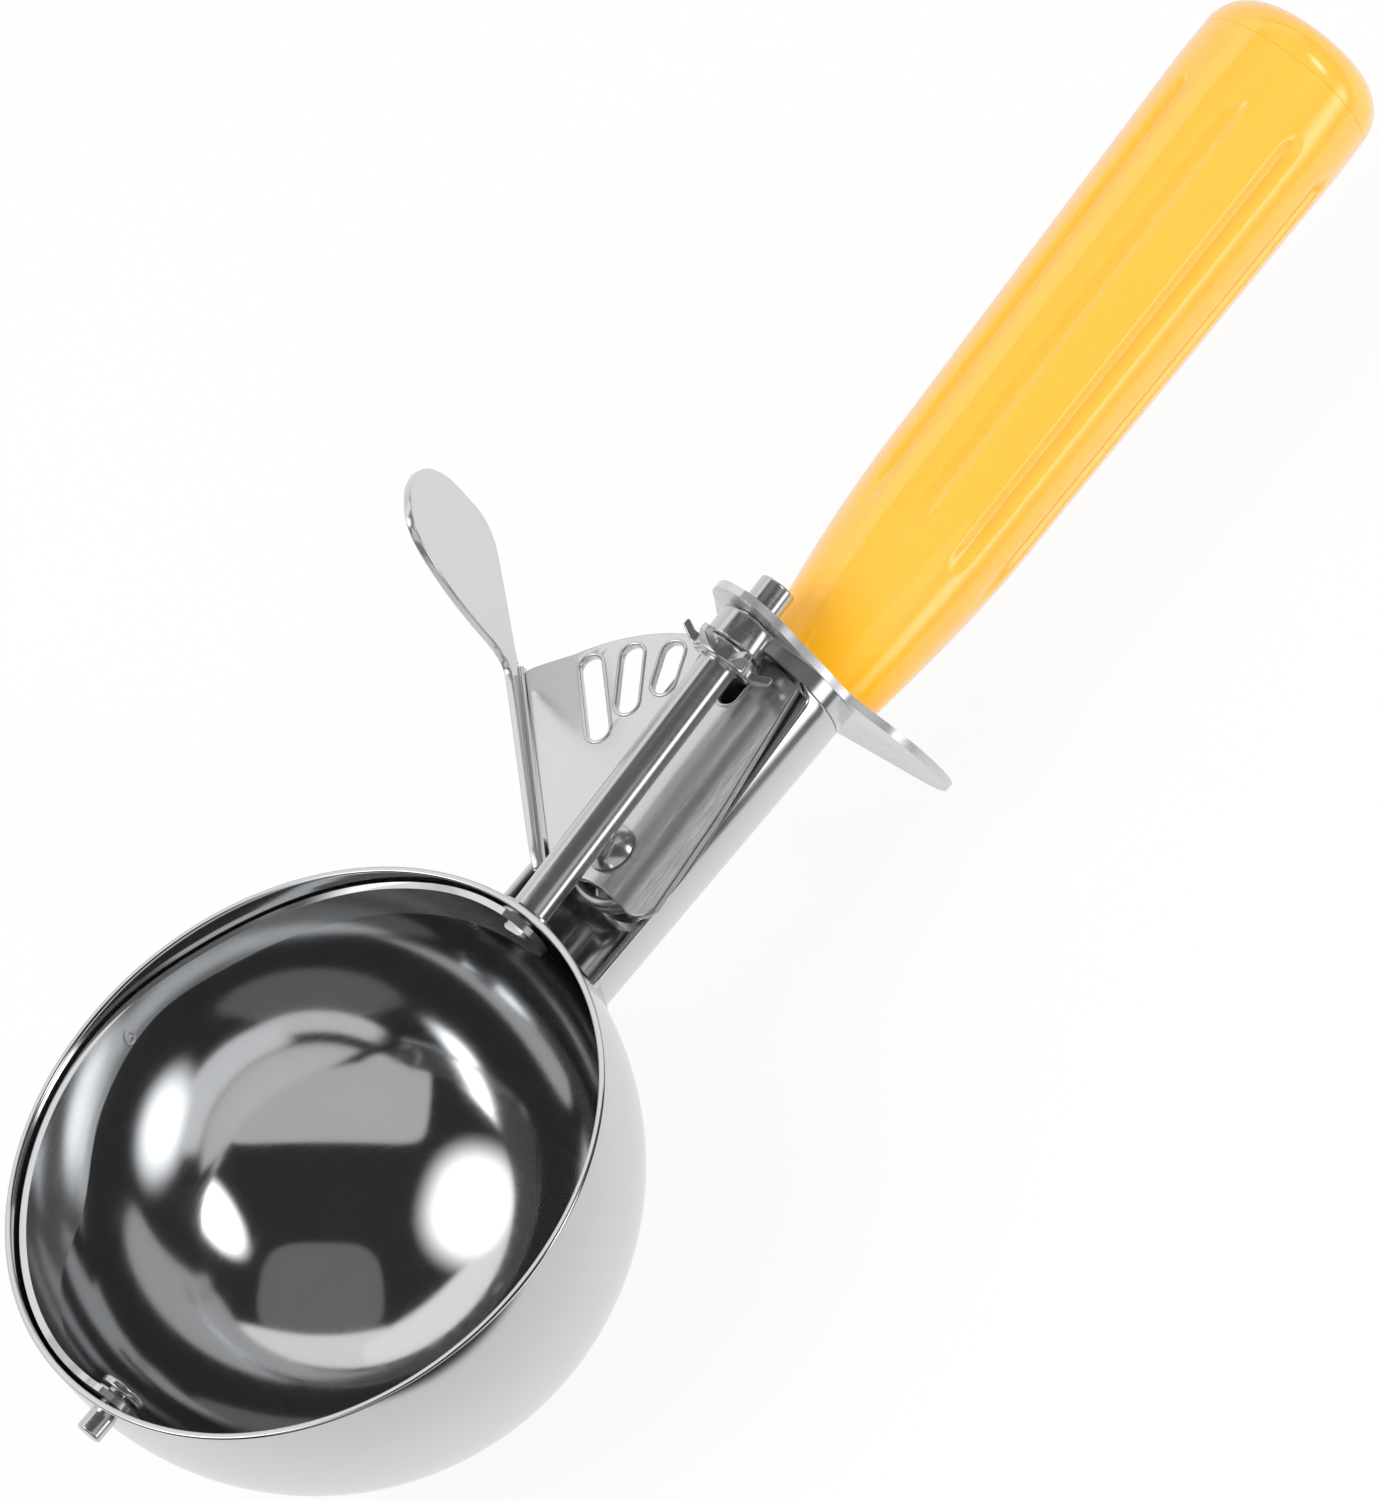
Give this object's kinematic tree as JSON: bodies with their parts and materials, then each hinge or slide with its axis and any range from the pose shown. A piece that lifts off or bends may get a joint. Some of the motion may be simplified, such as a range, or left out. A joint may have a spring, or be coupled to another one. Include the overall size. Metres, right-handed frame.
{
  "type": "lever ice cream scoop",
  "caption": "Round-bowl ice cream scoop with a thumb lever whose slotted sector turns a toothed shaft and sweeps a scraper blade round the bowl.",
  "frame": {"origin": "centre of the bowl's mouth, on the plane of its rim", "axes": "+Z out of the bowl's mouth, +X toward the handle, +Y the side of the thumb lever"},
  "size_m": [0.235, 0.0856, 0.0657],
  "materials": {
    "bowl_steel": "mirror-polished stainless sheet",
    "polished_steel": "polished stainless steel",
    "pin_steel": "turned stainless steel",
    "spring_wire": "drawn spring wire",
    "grip_plastic": "glossy moulded plastic, amber yellow"
  },
  "bodies": {
    "frame": {"bowl": "bowl_steel", "front_pin": "pin_steel", "front_washer": "pin_steel", "rear_bush": "pin_steel", "bowl_fillet": "pin_steel", "shaft_bearing": "polished_steel", "shank": "polished_steel", "shank_plug": "polished_steel", "lever_post": "polished_steel", "post_seat": "pin_steel", "lever_washer": "pin_steel", "spring_sleeve": "pin_steel", "return_spring": "spring_wire", "guard_plate": "polished_steel", "tang": "pin_steel", "tang_nut": "pin_steel", "handle_grip": "grip_plastic", "butt_cap": "grip_plastic"},
    "lever": {"lever": "polished_steel"},
    "drive": {"drive_shaft": "polished_steel", "pinion": "pin_steel", "pinion_pin": "pin_steel"},
    "wiper": {"scraper_blade": "bowl_steel"}
  },
  "joints": [
    {"name": "lever_swing", "type": "hinge", "parent": "frame", "child": "lever", "pos_m": [0.05361, 0, -0.00329], "axis": [0.0785, 0, -0.9969], "range_deg": [0, 36], "stiffness_Nm_per_rad": 0.3, "springref_deg": -34.38},
    {"name": "shaft_spin", "type": "hinge", "parent": "frame", "child": "drive", "pos_m": [0.03955, 0, -0.0044], "axis": [-0.9969, 0, -0.0785], "range_deg": [0, 180]},
    {"name": "blade_sweep", "type": "hinge", "parent": "frame", "child": "wiper", "pos_m": [0, 0, -0.0044], "axis": [-1, 0, 0], "range_deg": [0, 180]}
  ],
  "couplings": [
    {"joint": "shaft_spin", "follows": "lever_swing", "ratio": 5},
    {"joint": "blade_sweep", "follows": "lever_swing", "ratio": 5}
  ]
}
